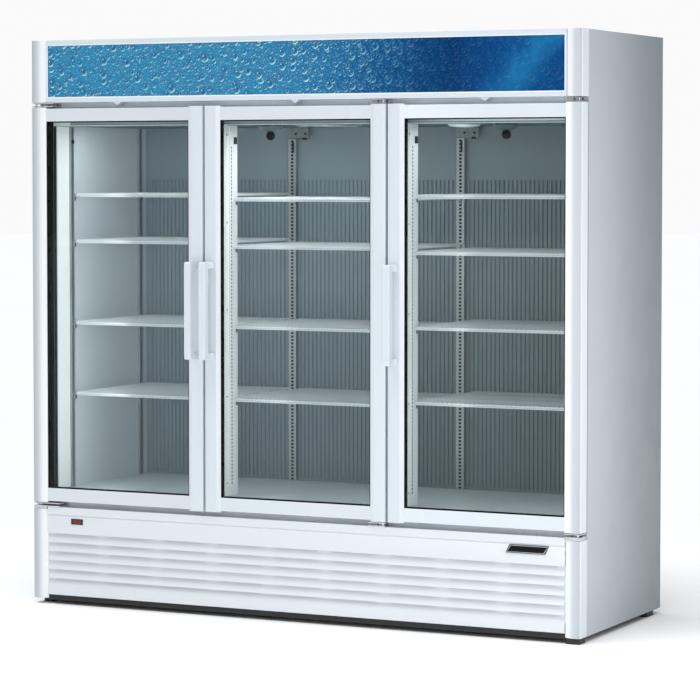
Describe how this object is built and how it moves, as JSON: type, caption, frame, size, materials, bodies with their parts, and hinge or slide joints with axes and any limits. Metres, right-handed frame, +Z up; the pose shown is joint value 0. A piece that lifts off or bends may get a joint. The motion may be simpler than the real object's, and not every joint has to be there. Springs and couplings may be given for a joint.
{
  "type": "reach in refrigerator",
  "caption": "Upright white display refrigerator with hinged glass doors, wire shelves, a lit blue header and a louvred lower panel.",
  "frame": {"origin": "on the floor, at the middle of the width and of the overall depth with the handles", "axes": "+X to the right of somebody facing the doors, +Y towards the back, +Z up; the doors face -Y"},
  "size_m": [2.08, 0.826, 1.991],
  "materials": {
    "side_grey": "satin light grey paint",
    "black_paint": "matt black paint",
    "white_paint": "satin white paint",
    "foam": "rigid polyurethane foam, out of sight",
    "grey_steel": "bare zinc-coated sheet",
    "white_plastic": "glossy white extruded plastic",
    "lamp_diffuser": "translucent white",
    "sign_print": "printed blue gradient with water drops",
    "black_plastic": "matt black",
    "chrome": "bright plated",
    "gasket_rubber": "dark grey magnetic seal",
    "door_glass": "clear double glazing with a black printed border",
    "shelf_wire": "white coated wire",
    "aluminium": "plain fins",
    "compressor_paint": "black paint"
  },
  "bodies": {
    "cabinet": {"side_panel_left": "side_grey", "side_panel_right": "side_grey", "roof_back_panel": "side_grey", "base_pan": "black_paint", "inner_liner": "white_paint", "header_housing": "white_paint", "front_grille": "white_paint", "evaporator_cover": "white_paint", "foam_insulation": "foam", "face_frame": "grey_steel", "mullion_left": "white_plastic", "mullion_right": "white_plastic", "header_post_left": "white_plastic", "header_post_right": "white_plastic", "lower_post_left": "white_plastic", "lower_post_right": "white_plastic", "interior_lamp_left": "lamp_diffuser", "interior_lamp_right": "lamp_diffuser", "sign_lamp": "lamp_diffuser", "sign_panel": "sign_print", "display_module": "black_plastic", "foot_front_left": "black_plastic", "foot_front_right": "black_plastic", "foot_rear_left": "black_plastic", "foot_rear_right": "black_plastic", "hinge_top_left": "chrome", "hinge_bottom_left": "chrome", "hinge_top_centre": "chrome", "hinge_bottom_centre": "chrome", "hinge_top_right": "chrome", "hinge_bottom_right": "chrome", "compressor": "compressor_paint", "condenser_coil": "aluminium", "evaporator_coil": "aluminium", "shelf_1_1": "shelf_wire", "shelf_1_2": "shelf_wire", "shelf_1_3": "shelf_wire", "shelf_1_4": "shelf_wire", "shelf_2_1": "shelf_wire", "shelf_2_2": "shelf_wire", "shelf_2_3": "shelf_wire", "shelf_2_4": "shelf_wire", "shelf_3_1": "shelf_wire", "shelf_3_2": "shelf_wire", "shelf_3_3": "shelf_wire", "shelf_3_4": "shelf_wire"},
    "door_1": {"door_frame_1": "white_plastic", "door_glass_1": "door_glass", "door_gasket_1": "gasket_rubber", "door_handle_1": "white_plastic"},
    "door_2": {"door_frame_2": "white_plastic", "door_glass_2": "door_glass", "door_gasket_2": "gasket_rubber", "door_handle_2": "white_plastic"},
    "door_3": {"door_frame_3": "white_plastic", "door_glass_3": "door_glass", "door_gasket_3": "gasket_rubber", "door_handle_3": "white_plastic"},
    "condenser_fan": {"condenser_fan": "black_plastic"},
    "evaporator_fan": {"evaporator_fan": "black_plastic"}
  },
  "joints": [
    {"name": "door_1", "type": "hinge", "parent": "cabinet", "child": "door_1", "pos_m": [-1.026, -0.333, 1.05], "axis": [0, 0, -1], "range_deg": [0, 95], "stiffness_Nm_per_rad": 2, "springref_deg": -5.73},
    {"name": "door_2", "type": "hinge", "parent": "cabinet", "child": "door_2", "pos_m": [0.32867, -0.333, 1.05], "axis": [0, 0, 1], "range_deg": [0, 95], "stiffness_Nm_per_rad": 2, "springref_deg": -5.73},
    {"name": "door_3", "type": "hinge", "parent": "cabinet", "child": "door_3", "pos_m": [1.026, -0.333, 1.05], "axis": [0, 0, 1], "range_deg": [0, 95], "stiffness_Nm_per_rad": 2, "springref_deg": -5.73},
    {"name": "condenser_fan_spin", "type": "hinge", "parent": "cabinet", "child": "condenser_fan", "pos_m": [-0.52, -0.145, 0.175], "axis": [0, 1, 0], "continuous": true},
    {"name": "evaporator_fan_spin", "type": "hinge", "parent": "cabinet", "child": "evaporator_fan", "pos_m": [0, -0.087, 1.735], "axis": [0, 0, 1], "continuous": true}
  ]
}
